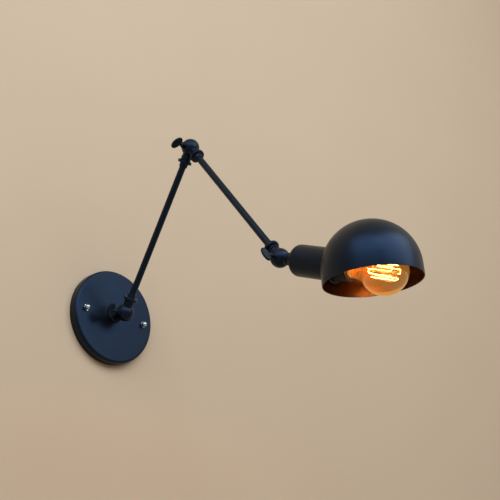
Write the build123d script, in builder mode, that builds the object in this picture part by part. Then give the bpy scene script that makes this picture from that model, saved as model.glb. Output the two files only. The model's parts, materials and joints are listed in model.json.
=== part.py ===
from build123d import *
import os
from math import atan2, cos, degrees, radians, sin, sqrt

# Extendable wall lamp, in millimetres. The wall is the plane y = 0 and the room is at -Y, X runs
# to the right along the wall and Z points up. The origin is the middle of the canopy on the wall.
# The arms are drawn as they hang in use, in an upright plane that leans a little to the left.

# Canopy, its cap nuts and the bracket behind it
canopy_diameter = 150.0
canopy_depth = 15.5
canopy_wall = 1.2
canopy_edge_radius = 4.2
cap_nut_inset = 18.9
cap_nut_ball_diameter = 8.6
cap_nut_collar_diameter = 9.4
cap_nut_collar_height = 1.2
cap_nut_grip = 4.6
stud_diameter = 4.0
bracket_end_gap = 5.8
bracket_width = 20.0
bracket_thickness = 2.0
wall_screw_spacing = 60.0
wall_slot_width = 5.0
wall_slot_length = 14.0
supply_hole_diameter = 14.0

# Threaded nipples with their nuts, washers and seat rings
nipple_wall = 1.25
base_nipple_tail = 5.0
lock_nut_across_flats = 15.0
lock_nut_thickness = 4.0
lock_washer_diameter = 18.0
lock_washer_thickness = 0.8
seat_ring_diameter = 21.5
seat_ring_foot = 1.6
seat_ring_flange = 1.8
base_ring_length = 5.7
cup_ring_length = 11.0

# Ball knuckles and their thumb screws
ball_diameter = 27.0
ball_wall = 2.8
ball_gap = 0.5
boss_diameter = 11.0
neck_diameter = 15.0
neck_reach = 6.3
neck_shoulder = 1.0
bead_diameter = 17.2
bead_width = 1.8
screw_diameter = 5.0
screw_depth = 9.0
screw_seat_diameter = 10.0
screw_seat_height = 2.0
screw_collar_diameter = 8.6
screw_collar_thickness = 1.6
screw_waist_diameter = 6.0
screw_waist_length = 3.6
screw_root_length = 5.0
paddle_width = 21.0
paddle_height = 13.0
paddle_thickness = 3.2
paddle_edge_radius = 1.2
friction_washer_diameter = 10.6

# Arms: tubes, jam collars and the flex inside
arm_length = 275.0
tube_diameter = 10.0
tube_wall = 1.0
collar_foot_diameter = 17.2
collar_foot_length = 1.6
collar_groove_diameter = 15.4
collar_groove_length = 0.6
collar_flange_diameter = 21.5
collar_flange_length = 2.4
collar_flange_radius = 0.8
collar_cone_diameter = 15.4
collar_cone_length = 7.5
collar_tip_wall = 0.9
flex_diameter = 6.3

# Socket cup and lampholder
cup_diameter = 42.6
cup_length = 66.3
cup_wall = 1.0
cup_shoulder_radius = 8.0
holder_diameter = 37.0
holder_length = 56.0
holder_protrusion = 29.4
holder_floor = 6.0
holder_back_wall = 3.5
holder_cap_length = 12.0
holder_cap_rim = 3.0
holder_cap_wall = 2.5
holder_entry_diameter = 16.0
holder_entry_length = 6.0
holder_ring_diameter = 47.0
holder_ring_length = 7.0
holder_ring_flange = 2.4
holder_ring_waist_diameter = 42.6
shell_wall = 0.5
shell_length = 24.0
contact_diameter = 7.0
contact_height = 2.0

# Dome shade
shade_radius = 62.5
shade_skirt = 15.5
shade_wall = 1.0
socket_latitude = 22.5

# Bulb with a screw cap
bulb_diameter = 60.0
bulb_centre_height = 48.0
bulb_neck_diameter = 27.2
bulb_neck_length = 4.0
bulb_glass_wall = 0.8
bulb_root_length = 5.0
bulb_lift = 0.7
bulb_cap_diameter = 26.4
bulb_cap_wall = 0.4
bulb_cap_length = 22.0
bulb_cap_lip = 2.4
bulb_insulator_height = 3.2
bulb_contact_diameter = 9.4
bulb_contact_height = 1.8
stem_flare_height = 15.0
stem_press_height = 22.0
stem_press_diameter = 5.2
stem_post_diameter = 2.6
filament_bottom = 31.0
filament_top = 65.0
filament_radius = 9.5
filament_strands = 10
filament_opening = 36.0
filament_bend_radius = 1.4
filament_wire = 0.6
filament_lead_drop = 3.0
support_hub_diameter = 4.4
support_hub_height = 1.4
support_wire = 0.6

# Angles at rest in degrees: the lean of the arms to the left, their slopes above or below the way
# out of the wall, and the turn of each paddle
arm_lean = 6.0
lower_arm_rise = 52.8
upper_arm_drop = 54.6
lamp_drop = 21.6
base_paddle_turn = 65.0
elbow_paddle_turn = 20.0
head_paddle_turn = -64.0

# Clearances
thread_clearance = 0.05
running_clearance = 0.08
slip_clearance = 0.3
swing_clearance = 0.4
seat_gap = 0.05

# Sizes that follow from these
canopy_radius = canopy_diameter / 2
stud_radius = stud_diameter / 2
stud_offset = canopy_radius - cap_nut_inset
ball_radius = ball_diameter / 2
boss_radius = boss_diameter / 2
neck_radius = neck_diameter / 2
neck_length = ball_radius + neck_reach
mating_face = ball_gap / 2
screw_radius = screw_diameter / 2
screw_seat = ball_radius + screw_seat_height
tube_radius = tube_diameter / 2
tube_start = ball_radius + neck_shoulder
tube_bore_radius = tube_radius - tube_wall
threaded_radius = tube_radius + thread_clearance
cup_radius = cup_diameter / 2
cup_back = neck_length + cup_ring_length
cup_front = cup_back + cup_length
shade_reach = cup_front + sqrt(shade_radius**2 - cup_radius**2)
shade_inner_radius = shade_radius - shade_wall
holder_radius = holder_diameter / 2
holder_front = cup_front + holder_protrusion
holder_back = holder_front - holder_length
holder_entry = holder_back - holder_cap_length
bulb_radius = bulb_diameter / 2
bulb_cap_radius = bulb_cap_diameter / 2
bulb_cap_bore = bulb_cap_radius - bulb_cap_wall
bulb_seat = holder_front + bulb_lift
bulb_tip = bulb_seat - bulb_cap_length - bulb_insulator_height - bulb_contact_height
holder_seat = bulb_tip - contact_height
shell_radius = bulb_cap_radius + slip_clearance + shell_wall
outward = Vector(0, -1, 0)
across = Vector(1, 0, 0)
arm_upward = Vector(-sin(radians(arm_lean)), 0, cos(radians(arm_lean)))
hinge_direction = Vector(cos(radians(arm_lean)), 0, sin(radians(arm_lean)))


def slanted(angle):
    """Unit direction in the plane of the arms, at an angle above the way out of the wall."""
    return outward * cos(radians(angle)) + arm_upward * sin(radians(angle))


# Pivots from the wall out, and the direction of each piece between them
pivot_standoff = canopy_depth + base_ring_length + neck_length
lower_direction = slanted(lower_arm_rise)
upper_direction = slanted(-upper_arm_drop)
lamp_direction = slanted(-lamp_drop)
dome_direction = slanted(90 + socket_latitude - lamp_drop)
base_pivot = outward * pivot_standoff
elbow_pivot = base_pivot + lower_direction * arm_length
head_pivot = elbow_pivot + upper_direction * arm_length
dome_centre = head_pivot + lamp_direction * shade_reach


def dome_height(radius, sphere_radius):
    """How far along the lamp's axis a circle of this radius meets a sphere round the dome's centre."""
    return shade_reach - sqrt(sphere_radius**2 - radius**2)


def section(origin, direction):
    """Plane square to a piece's own axis, with its x along the hinge lines."""
    return Plane(origin=origin, x_dir=hinge_direction, z_dir=direction)


def lengthwise(cross):
    """Plane through the axis of a section: x is the radius and y runs along the axis."""
    return Plane(origin=cross.origin, x_dir=cross.x_dir, z_dir=cross.x_dir.cross(cross.z_dir))


def axis_of(cross):
    """The line that the piece on a section is turned about."""
    return Axis(cross.origin, cross.z_dir)


wall = Plane(origin=(0, 0, 0), x_dir=across, z_dir=outward)
rear_neck = section(base_pivot, -outward)
lower_foot = section(base_pivot, lower_direction)
lower_top = section(elbow_pivot, -lower_direction)
upper_top = section(elbow_pivot, upper_direction)
upper_foot = section(head_pivot, -upper_direction)
lamp = section(head_pivot, lamp_direction)
dome = section(dome_centre, dome_direction)
bulb = section(head_pivot + lamp_direction * bulb_seat, lamp_direction)

os.makedirs("parts", exist_ok=True)


def finish(piece, label):
    """Name a finished piece and write it out."""
    piece.part.label = label
    export_step(piece.part, f"parts/{label}.step")


def sleeve(label, cross, start, end, outer_radius, inner_radius):
    """Plain tube or washer on a section, from start to end along its axis."""
    with BuildPart() as piece:
        with BuildSketch(cross.offset(start)):
            Circle(outer_radius)
            Circle(inner_radius, mode=Mode.SUBTRACT)
        extrude(amount=end - start)
    finish(piece, label)


def rod(label, cross, start, end, radius):
    """Plain round bar on a section, from start to end along its axis."""
    with BuildPart() as piece:
        with BuildSketch(cross.offset(start)):
            Circle(radius)
        extrude(amount=end - start)
    finish(piece, label)


def turned(label, cross, *outline):
    """Piece turned about the axis of a section from a closed outline of (radius, height) points."""
    with BuildPart() as piece:
        with BuildSketch(lengthwise(cross)):
            with BuildLine():
                Polyline(*outline, close=True)
            make_face()
        revolve(axis=axis_of(cross))
    finish(piece, label)


def lock_nut(label, cross, start):
    """Hexagon nut that runs on a nipple."""
    with BuildPart() as piece:
        with BuildSketch(cross.offset(start)):
            RegularPolygon(lock_nut_across_flats / 2, 6, major_radius=False)
            Circle(threaded_radius, mode=Mode.SUBTRACT)
        extrude(amount=lock_nut_thickness)
    finish(piece, label)


def knuckle_half(label, neck, side, threaded):
    """Hollow half ball on one side of the arms' plane, with a neck that stands on that plane.

    The half with the screw seat lets the thumb screw through, and the threaded one holds it.
    """
    profile = lengthwise(neck)
    hinge = Axis(neck.origin, hinge_direction)
    own_side = (Align.MIN, Align.MIN) if side > 0 else (Align.MAX, Align.MIN)
    far_side = (Align.MAX, Align.MIN) if side > 0 else (Align.MIN, Align.MIN)
    face = (side * mating_face, 0)
    bead_middle = ball_radius + neck_reach / 2
    bead_start = (neck_radius, bead_middle - bead_width / 2)
    bead_end = (neck_radius, bead_middle + bead_width / 2)
    swing_radius = ball_radius + swing_clearance
    hole_radius = screw_radius + running_clearance
    hole_end = screw_depth + neck_shoulder if threaded else screw_seat + seat_gap
    with BuildPart() as half:
        # Neck with its bead
        with BuildSketch(profile):
            with BuildLine():
                Polyline((0, neck_length), (0, 0), (neck_radius, 0), bead_start)
                ThreePointArc(bead_start, (bead_diameter / 2, bead_middle), bead_end)
                Polyline(bead_end, (neck_radius, neck_length), (0, neck_length))
            make_face()
        revolve(axis=axis_of(neck))
        # Room for the other half to swing past the neck
        with BuildSketch(profile):
            Circle(swing_radius)
            with Locations(face):
                Rectangle(2 * swing_radius, swing_radius, align=far_side, mode=Mode.INTERSECT)
        revolve(axis=hinge, mode=Mode.SUBTRACT)
        # Half ball, with its seat for the thumb screw
        with BuildSketch(profile):
            Circle(ball_radius)
            with Locations(face):
                Rectangle(ball_radius, ball_radius, align=own_side, mode=Mode.INTERSECT)
                if not threaded:
                    Rectangle(screw_seat - mating_face, screw_seat_diameter / 2, align=own_side)
        revolve(axis=hinge)
        # Pocket for the flex, round the screw boss
        with BuildSketch(profile):
            Circle(ball_radius - ball_wall)
            with Locations(face):
                Rectangle(ball_radius, ball_radius, align=own_side, mode=Mode.INTERSECT)
                Rectangle(ball_radius, boss_radius, align=own_side, mode=Mode.SUBTRACT)
        revolve(axis=hinge, mode=Mode.SUBTRACT)
        # Screw hole
        with BuildSketch(profile):
            Rectangle(hole_end, hole_radius, align=own_side)
        revolve(axis=hinge, mode=Mode.SUBTRACT)
        # Way for the flex up the neck, and the socket for the tube or nipple
        with BuildSketch(neck.offset(boss_radius)):
            Circle(tube_bore_radius)
        extrude(amount=neck_length - boss_radius, mode=Mode.SUBTRACT)
        with BuildSketch(neck.offset(tube_start)):
            Circle(threaded_radius)
        extrude(amount=neck_length - tube_start, mode=Mode.SUBTRACT)
    finish(half, label)


def thumb_screw(label, pivot, turn):
    """Screw along the hinge line, with an oval paddle that stands at the given turn."""
    spread = slanted(turn)
    flat = Plane(origin=pivot, x_dir=-hinge_direction, z_dir=spread.cross(hinge_direction))
    collar_start = screw_seat + seat_gap
    collar_end = collar_start + screw_collar_thickness
    waist_end = collar_end + screw_waist_length
    with BuildPart() as screw:
        with BuildSketch(flat):
            with BuildLine():
                Polyline(
                    (-screw_depth, 0),
                    (-screw_depth, screw_radius),
                    (collar_start, screw_radius),
                    (collar_start, screw_collar_diameter / 2),
                    (collar_end, screw_collar_diameter / 2),
                    (collar_end, screw_waist_diameter / 2),
                    (waist_end, screw_waist_diameter / 2),
                    (waist_end + screw_root_length, paddle_thickness / 2),
                    (waist_end + screw_root_length, 0),
                    close=True,
                )
            make_face()
        revolve(axis=Axis(pivot, hinge_direction))
        with BuildSketch(flat):
            with Locations((waist_end + paddle_height / 2, 0)):
                Ellipse(paddle_height / 2, paddle_width / 2)
        extrude(amount=paddle_thickness / 2, both=True)
        rims = screw.edges().filter_by(GeomType.ELLIPSE)
        fillet(rims, radius=paddle_edge_radius)
    finish(screw, label)


def friction_washer(label, pivot):
    """Fibre washer between the screw bosses of two half balls."""
    cross = Plane(origin=pivot, x_dir=outward, z_dir=hinge_direction)
    half_thickness = mating_face - seat_gap
    bore = screw_radius + running_clearance
    sleeve(label, cross, -half_thickness, half_thickness, friction_washer_diameter / 2, bore)


def seat_ring(label, cross, length):
    """Ring that widens from the end of a neck to a flange on the sheet metal beyond it."""
    back = neck_length + seat_gap
    front = neck_length + length - seat_gap
    foot_radius = bead_diameter / 2
    flange_radius = seat_ring_diameter / 2
    turned(
        label,
        cross,
        (threaded_radius, back),
        (foot_radius, back),
        (foot_radius, back + seat_ring_foot),
        (flange_radius, front - seat_ring_flange),
        (flange_radius, front),
        (threaded_radius, front),
    )


def jam_collar(label, cross):
    """Flanged collar on the tube that locks against the neck and tapers back to the tube."""
    foot = neck_length + seat_gap
    groove = foot + collar_foot_length
    flange = groove + collar_groove_length
    cone = flange + collar_flange_length
    tip = cone + collar_cone_length
    flange_radius = collar_flange_diameter / 2
    with BuildPart() as collar:
        with BuildSketch(lengthwise(cross)) as profile:
            with BuildLine():
                Polyline(
                    (threaded_radius, foot),
                    (collar_foot_diameter / 2, foot),
                    (collar_foot_diameter / 2, groove),
                    (collar_groove_diameter / 2, groove),
                    (collar_groove_diameter / 2, flange),
                    (flange_radius, flange),
                    (flange_radius, cone),
                    (collar_cone_diameter / 2, cone),
                    (threaded_radius + collar_tip_wall, tip),
                    (threaded_radius, tip),
                    close=True,
                )
            make_face()
            fillet(profile.vertices().sort_by(Axis.X)[-2:], radius=collar_flange_radius)
        revolve(axis=axis_of(cross))
    finish(collar, label)


# Wall bracket: a strip with two slots for the wall screws and a hole for the supply
with BuildPart() as wall_bracket:
    bracket_length = canopy_diameter - 2 * (canopy_wall + bracket_end_gap)
    with BuildSketch(wall):
        SlotOverall(bracket_length, bracket_width)
        Circle(supply_hole_diameter / 2, mode=Mode.SUBTRACT)
        with GridLocations(wall_screw_spacing, 0, 2, 1):
            SlotOverall(wall_slot_length, wall_slot_width, mode=Mode.SUBTRACT)
        with GridLocations(2 * stud_offset, 0, 2, 1):
            Circle(stud_radius + thread_clearance, mode=Mode.SUBTRACT)
    extrude(amount=bracket_thickness)
finish(wall_bracket, "wall_bracket")

# Two studs screwed through the bracket
with BuildPart() as canopy_studs:
    with BuildSketch(wall):
        with GridLocations(2 * stud_offset, 0, 2, 1):
            Circle(stud_radius)
    extrude(amount=canopy_depth + cap_nut_grip)
finish(canopy_studs, "canopy_studs")

# Canopy: a shallow dish with a flat face
with BuildPart() as canopy:
    with BuildSketch(lengthwise(wall)) as canopy_profile:
        with BuildLine():
            Polyline(
                (canopy_radius, 0),
                (canopy_radius, canopy_depth),
                (tube_radius + slip_clearance, canopy_depth),
                (tube_radius + slip_clearance, canopy_depth - canopy_wall),
                (canopy_radius - canopy_wall, canopy_depth - canopy_wall),
                (canopy_radius - canopy_wall, 0),
                close=True,
            )
        make_face()
        for row, radius in ((-1, canopy_edge_radius), (-2, canopy_edge_radius - canopy_wall)):
            fillet(canopy_profile.vertices().group_by(Axis.Y)[row].sort_by(Axis.X)[-1], radius=radius)
    revolve(axis=axis_of(wall))
    with BuildSketch(wall.offset(canopy_depth - canopy_wall)):
        with GridLocations(2 * stud_offset, 0, 2, 1):
            Circle(stud_radius + slip_clearance)
    extrude(amount=canopy_wall, mode=Mode.SUBTRACT)
finish(canopy, "canopy")

# Ball cap nuts on the studs
with BuildPart() as cap_nuts:
    nut_seat = outward * (canopy_depth + seat_gap) + across * stud_offset
    nut = Plane(origin=nut_seat, x_dir=across, z_dir=outward)
    nut_ball_radius = cap_nut_ball_diameter / 2
    with BuildSketch(lengthwise(nut)):
        with Locations((0, nut_ball_radius)):
            Circle(nut_ball_radius)
        Rectangle(cap_nut_collar_diameter, cap_nut_collar_height, align=(Align.CENTER, Align.MIN))
        own_half = (Align.MIN, Align.MIN)
        Rectangle(cap_nut_ball_diameter, cap_nut_ball_diameter, align=own_half, mode=Mode.INTERSECT)
    revolve(axis=axis_of(nut))
    with BuildSketch(nut):
        Circle(stud_radius + thread_clearance)
    extrude(amount=cap_nut_grip, mode=Mode.SUBTRACT)
    mirror(about=Plane.YZ)
finish(cap_nuts, "cap_nuts")

# Base nipple with its nut and washer inside the canopy, and the seat ring in front
washer_front = canopy_depth - canopy_wall - seat_gap
washer_back = washer_front - lock_washer_thickness
nut_back = washer_back - seat_gap - lock_nut_thickness
nipple_front = pivot_standoff - tube_start - seat_gap
nipple_bore = tube_radius - nipple_wall
sleeve("base_nipple", wall, nut_back - base_nipple_tail, nipple_front, tube_radius, nipple_bore)
sleeve("base_lock_washer", wall, washer_back, washer_front, lock_washer_diameter / 2, threaded_radius)
lock_nut("base_lock_nut", wall, nut_back)
seat_ring("base_seat_ring", rear_neck, base_ring_length)

# The three ball knuckles, from the wall out
for joint, pivot, near_label, near_neck, far_label, far_neck, turn in (
    ("base", base_pivot, "rear", rear_neck, "front", lower_foot, base_paddle_turn),
    ("elbow", elbow_pivot, "lower", lower_top, "upper", upper_top, elbow_paddle_turn),
    ("head", head_pivot, "arm", upper_foot, "lamp", lamp, head_paddle_turn),
):
    knuckle_half(f"{joint}_knuckle_{near_label}", near_neck, -1, threaded=False)
    knuckle_half(f"{joint}_knuckle_{far_label}", far_neck, 1, threaded=True)
    friction_washer(f"{joint}_friction_washer", pivot)
    thumb_screw(f"{joint}_thumb_screw", pivot, turn)

# The two arms, each a tube with a collar at both ends and the flex inside
for arm, near_label, near_neck, far_label, far_neck in (
    ("lower_arm", "base", lower_foot, "elbow", lower_top),
    ("upper_arm", "elbow", upper_top, "head", upper_foot),
):
    start = tube_start + seat_gap
    end = arm_length - start
    sleeve(f"{arm}_tube", near_neck, start, end, tube_radius, tube_bore_radius)
    rod(f"{arm}_flex", near_neck, start, end, flex_diameter / 2)
    jam_collar(f"{arm}_{near_label}_collar", near_neck)
    jam_collar(f"{arm}_{far_label}_collar", far_neck)

# Seat ring, nipple and nut that hold the cup and the lampholder on the head knuckle
nipple_end = holder_entry + holder_entry_length - seat_gap
seat_ring("cup_seat_ring", lamp, cup_ring_length)
sleeve("cup_nipple", lamp, tube_start + seat_gap, nipple_end, tube_radius, nipple_bore)
lock_nut("cup_lock_nut", lamp, cup_back + cup_wall + seat_gap)

# Socket cup: a drawn cup with a round shoulder, its rim cut to sit on the dome
with BuildPart() as socket_cup:
    cup_bore_radius = cup_radius - cup_wall
    with BuildSketch(lengthwise(lamp)) as cup_profile:
        with BuildLine():
            Polyline(
                (tube_radius + slip_clearance, cup_back),
                (cup_radius, cup_back),
                (cup_radius, dome_height(cup_radius, shade_radius) - seat_gap),
                (cup_bore_radius, dome_height(cup_bore_radius, shade_radius) - seat_gap),
                (cup_bore_radius, cup_back + cup_wall),
                (tube_radius + slip_clearance, cup_back + cup_wall),
                close=True,
            )
        make_face()
        for row, radius in ((0, cup_shoulder_radius), (1, cup_shoulder_radius - cup_wall)):
            fillet(cup_profile.vertices().group_by(Axis.Y)[row].sort_by(Axis.X)[-1], radius=radius)
    revolve(axis=axis_of(lamp))
finish(socket_cup, "socket_cup")

# Lampholder: back cap with the threaded entry, body, shade ring, screw shell and contact
cap_front = holder_back - seat_gap
turned(
    "lampholder_cap",
    lamp,
    (threaded_radius, holder_entry),
    (holder_entry_diameter / 2, holder_entry),
    (holder_radius, holder_back - holder_cap_rim),
    (holder_radius, cap_front),
    (holder_radius - holder_cap_wall, cap_front),
    (holder_radius - holder_cap_wall, holder_back - holder_cap_rim),
    (threaded_radius, holder_entry + holder_entry_length),
)
turned(
    "lampholder_body",
    lamp,
    (shell_radius + thread_clearance, holder_front),
    (holder_radius, holder_front),
    (holder_radius, holder_back),
    (holder_radius - holder_back_wall, holder_back),
    (holder_radius - holder_back_wall, holder_seat - holder_floor),
    (0, holder_seat - holder_floor),
    (0, holder_seat),
    (shell_radius + thread_clearance, holder_seat),
)
clamp_radius = holder_ring_diameter / 2
clamp_seat = dome_height(clamp_radius, shade_inner_radius) + seat_gap
turned(
    "lampholder_ring",
    lamp,
    (holder_radius + thread_clearance, clamp_seat),
    (clamp_radius, clamp_seat),
    (clamp_radius, clamp_seat + holder_ring_flange),
    (holder_ring_waist_diameter / 2, clamp_seat + holder_ring_flange),
    (holder_ring_waist_diameter / 2, clamp_seat + holder_ring_length),
    (holder_radius + thread_clearance, clamp_seat + holder_ring_length),
)
shell_start = holder_seat + seat_gap
sleeve("screw_shell", lamp, shell_start, shell_start + shell_length, shell_radius, shell_radius - shell_wall)
rod("centre_contact", lamp, holder_seat + seat_gap, bulb_tip - seat_gap, contact_diameter / 2)

# Shade: half a sphere on a straight skirt, with a hole for the lampholder in its side
with BuildPart() as shade:
    with BuildSketch(lengthwise(dome)):
        with BuildLine():
            CenterArc((0, 0), shade_radius, 0, 90)
            Line((shade_radius, 0), (shade_radius, -shade_skirt))
            Line((shade_radius, -shade_skirt), (shade_inner_radius, -shade_skirt))
            Line((shade_inner_radius, -shade_skirt), (shade_inner_radius, 0))
            CenterArc((0, 0), shade_inner_radius, 0, 90)
            Line((0, shade_inner_radius), (0, shade_radius))
        make_face()
    revolve(axis=axis_of(dome))
    with BuildSketch(section(dome_centre, -lamp_direction)):
        Circle(holder_radius + slip_clearance)
    extrude(amount=shade_radius, mode=Mode.SUBTRACT)
finish(shade, "shade")

# Bulb glass: a ball that runs into the neck along a hollow curve
neck_outer = bulb_neck_diameter / 2
neck_rise = bulb_centre_height - bulb_neck_length
bulb_crown = bulb_centre_height + bulb_radius
hollow_radius = (neck_outer**2 + neck_rise**2 - bulb_radius**2) / (2 * (bulb_radius - neck_outer))
hollow_middle = (neck_outer + hollow_radius, bulb_neck_length)
hollow_angle = degrees(atan2(neck_rise, neck_outer + hollow_radius))
root_outer = bulb_cap_bore - thread_clearance
root_inner = root_outer - bulb_glass_wall
neck_inner = neck_outer - bulb_glass_wall
with BuildPart() as bulb_glass:
    with BuildSketch(lengthwise(bulb)):
        with BuildLine():
            for wall_depth in (0, bulb_glass_wall):
                ball = bulb_radius - wall_depth
                CenterArc((0, bulb_centre_height), ball, -hollow_angle, 90 + hollow_angle)
                CenterArc(hollow_middle, hollow_radius + wall_depth, 180, -hollow_angle)
            Line((0, bulb_crown), (0, bulb_crown - bulb_glass_wall))
            Polyline(
                (neck_outer, bulb_neck_length),
                (neck_outer, seat_gap),
                (root_outer, seat_gap),
                (root_outer, -bulb_root_length),
                (root_inner, -bulb_root_length),
                (root_inner, seat_gap),
                (neck_inner, bulb_neck_length),
            )
        make_face()
    revolve(axis=axis_of(bulb))
finish(bulb_glass, "bulb_glass")

# Bulb cap, its insulator and its contact
insulator_top = -bulb_cap_length - seat_gap
insulator_foot = -bulb_cap_length - bulb_insulator_height
turned(
    "bulb_cap",
    bulb,
    (bulb_cap_bore, 0),
    (bulb_cap_radius, 0),
    (bulb_cap_radius, -bulb_cap_length),
    (bulb_cap_radius - bulb_cap_lip, -bulb_cap_length),
    (bulb_cap_radius - bulb_cap_lip, bulb_cap_wall - bulb_cap_length),
    (bulb_cap_bore, bulb_cap_wall - bulb_cap_length),
)
turned(
    "bulb_insulator",
    bulb,
    (0, insulator_top),
    (bulb_cap_radius - bulb_cap_wall, insulator_top),
    (bulb_contact_diameter / 2, insulator_foot),
    (0, insulator_foot),
)
contact_top = insulator_foot - seat_gap
contact_foot = insulator_foot - bulb_contact_height
rod("bulb_contact", bulb, contact_foot, contact_top, bulb_contact_diameter / 2)

# Glass stem: a flare that closes to a press, with a thin post up the middle
with BuildPart() as bulb_stem:
    flare = root_inner - thread_clearance
    press = stem_press_diameter / 2
    post = stem_post_diameter / 2
    post_top = filament_top + support_hub_height
    with BuildSketch(lengthwise(bulb)):
        with BuildLine():
            Polyline(
                (press, stem_flare_height),
                (press, stem_press_height),
                (post, stem_press_height + press),
                (post, post_top),
                (0, post_top),
                (0, -bulb_root_length),
                (flare, -bulb_root_length),
            )
            TangentArc((press, stem_flare_height), (flare, -bulb_root_length), tangent=(0, -1))
        make_face()
    revolve(axis=axis_of(bulb))
finish(bulb_stem, "bulb_stem")

# Filament: upright strands round the post, joined by bends at the top and bottom in turn
strand_step = radians(360 - filament_opening) / (filament_strands - 1)


def cage_point(turn, radius, height):
    """Point of the filament cage, at a turn counted in strands."""
    angle = strand_step * turn
    return bulb.from_local_coords(Vector(radius * cos(angle), radius * sin(angle), height))


lead_radius = press + filament_wire
lead_height = stem_press_height - filament_lead_drop
route = [cage_point(0, lead_radius, lead_height)]
for strand in range(filament_strands):
    ends = (filament_bottom, filament_top) if strand % 2 == 0 else (filament_top, filament_bottom)
    route += [cage_point(strand, filament_radius, height) for height in ends]
route.append(cage_point(filament_strands - 1, lead_radius, lead_height))
with BuildPart() as filament:
    with BuildLine() as strands:
        FilletPolyline(*route, radius=filament_bend_radius)
    with BuildSketch(Plane(origin=strands.line @ 0, z_dir=strands.line % 0)):
        Circle(filament_wire / 2)
    sweep(path=strands.line)
finish(filament, "filament")

# Wire supports: a hub at each end of the cage with an arm to each bend
arm_reach = filament_radius * cos(strand_step / 2) - filament_wire / 2 - seat_gap
with BuildPart() as filament_supports:
    for height, first in ((filament_top, 0), (filament_bottom, 1)):
        with BuildSketch(bulb.offset(height - support_hub_height / 2)):
            Circle(support_hub_diameter / 2)
        extrude(amount=support_hub_height)
        for bend in range(first, filament_strands - 1, 2):
            foot = bulb.from_local_coords(Vector(0, 0, height))
            tip = cage_point(bend + 1 / 2, arm_reach, height)
            with BuildSketch(Plane(origin=foot, z_dir=tip - foot)):
                Circle(support_wire / 2)
            extrude(amount=(tip - foot).length)
    with BuildSketch(bulb):
        Circle(stem_post_diameter / 2 + thread_clearance)
    extrude(amount=filament_top + 2 * support_hub_height, mode=Mode.SUBTRACT)
finish(filament_supports, "filament_supports")
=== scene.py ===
import json
import math

import bmesh
import bpy
from mathutils import Matrix, Vector


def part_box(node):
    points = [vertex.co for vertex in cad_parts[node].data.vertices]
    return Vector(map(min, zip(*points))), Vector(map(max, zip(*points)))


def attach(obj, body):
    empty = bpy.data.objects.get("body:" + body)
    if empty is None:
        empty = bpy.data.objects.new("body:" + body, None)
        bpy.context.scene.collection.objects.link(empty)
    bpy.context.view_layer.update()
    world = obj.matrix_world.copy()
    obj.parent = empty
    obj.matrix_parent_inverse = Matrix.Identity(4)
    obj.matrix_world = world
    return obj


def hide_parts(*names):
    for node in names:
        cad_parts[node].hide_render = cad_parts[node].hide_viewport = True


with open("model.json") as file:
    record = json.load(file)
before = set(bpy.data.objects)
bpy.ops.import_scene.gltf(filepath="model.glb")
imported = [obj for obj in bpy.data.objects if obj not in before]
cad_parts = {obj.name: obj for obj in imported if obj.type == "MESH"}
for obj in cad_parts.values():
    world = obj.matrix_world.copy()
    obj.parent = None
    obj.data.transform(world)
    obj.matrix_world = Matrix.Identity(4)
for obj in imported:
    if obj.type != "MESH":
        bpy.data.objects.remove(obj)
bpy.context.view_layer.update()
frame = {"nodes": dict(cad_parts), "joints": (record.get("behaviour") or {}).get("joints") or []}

# Wall: the smooth painted plaster that the lamp is screwed to. It isn't part of the lamp.
# A round hole behind the canopy lets light reach the bracket when the lamp is seen from behind.
wall_reach = 3.0
wall_hole = 0.071
wall_gap = 0.0004
wall_steps = 48
wall_colour = (0.645, 0.455, 0.30, 1.0)
wall_patch = (0.615, 0.425, 0.275, 1.0)
wall_roughness = 0.9
wall_shine = 0.1
stipple_depth = 0.0006


def add(tree, kind, inputs=None, **settings):
    """Node of a kind in a tree, with its inputs set to values or joined to other nodes."""
    made = tree.nodes.new(kind)
    for name, value in settings.items():
        setattr(made, name, value)
    for name, value in (inputs or {}).items():
        if isinstance(value, bpy.types.NodeSocket):
            tree.links.new(value, made.inputs[name])
        else:
            made.inputs[name].default_value = value
    return made


def blend_of(tree, share, one, two):
    """Colour that goes from one to two as the share rises from nothing to one."""
    return add(tree, "ShaderNodeMix", {0: share, 6: one, 7: two}, data_type="RGBA").outputs[2]


def new_finish(name):
    """Material with an empty node tree, its output and its place on the piece."""
    finish = bpy.data.materials.new(name)
    finish.use_nodes = True
    finish.node_tree.nodes.clear()
    tree = finish.node_tree
    return finish, tree, add(tree, "ShaderNodeOutputMaterial"), add(tree, "ShaderNodeTexCoord")


wall_mesh = bpy.data.meshes.new("wall")
shape = bmesh.new()
inner, outer = [], []
for step in range(wall_steps):
    turn = 2 * math.pi * step / wall_steps
    across, up = math.cos(turn), math.sin(turn)
    stretch = wall_reach / max(abs(across), abs(up))
    inner.append(shape.verts.new((wall_hole * across, wall_gap, wall_hole * up)))
    outer.append(shape.verts.new((stretch * across, wall_gap, stretch * up)))
for step in range(wall_steps):
    after = (step + 1) % wall_steps
    shape.faces.new((inner[step], inner[after], outer[after], outer[step]))
shape.normal_update()
for face in shape.faces:
    if face.normal.y > 0:
        face.normal_flip()
shape.to_mesh(wall_mesh)
shape.free()
wall = bpy.data.objects.new("wall", wall_mesh)
bpy.context.scene.collection.objects.link(wall)
wall_paint, tree, output, place = new_finish("wall_paint")
mottle = add(tree, "ShaderNodeTexNoise", {
    "Vector": place.outputs["Object"], "Scale": 3.0, "Detail": 3.0,
})
stipple = add(tree, "ShaderNodeTexNoise", {
    "Vector": place.outputs["Object"], "Scale": 260.0, "Detail": 2.0,
})
tone = blend_of(tree, mottle.outputs[0], wall_colour, wall_patch)
relief = add(tree, "ShaderNodeBump", {
    "Height": stipple.outputs[0], "Strength": 0.12, "Distance": stipple_depth,
})
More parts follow.
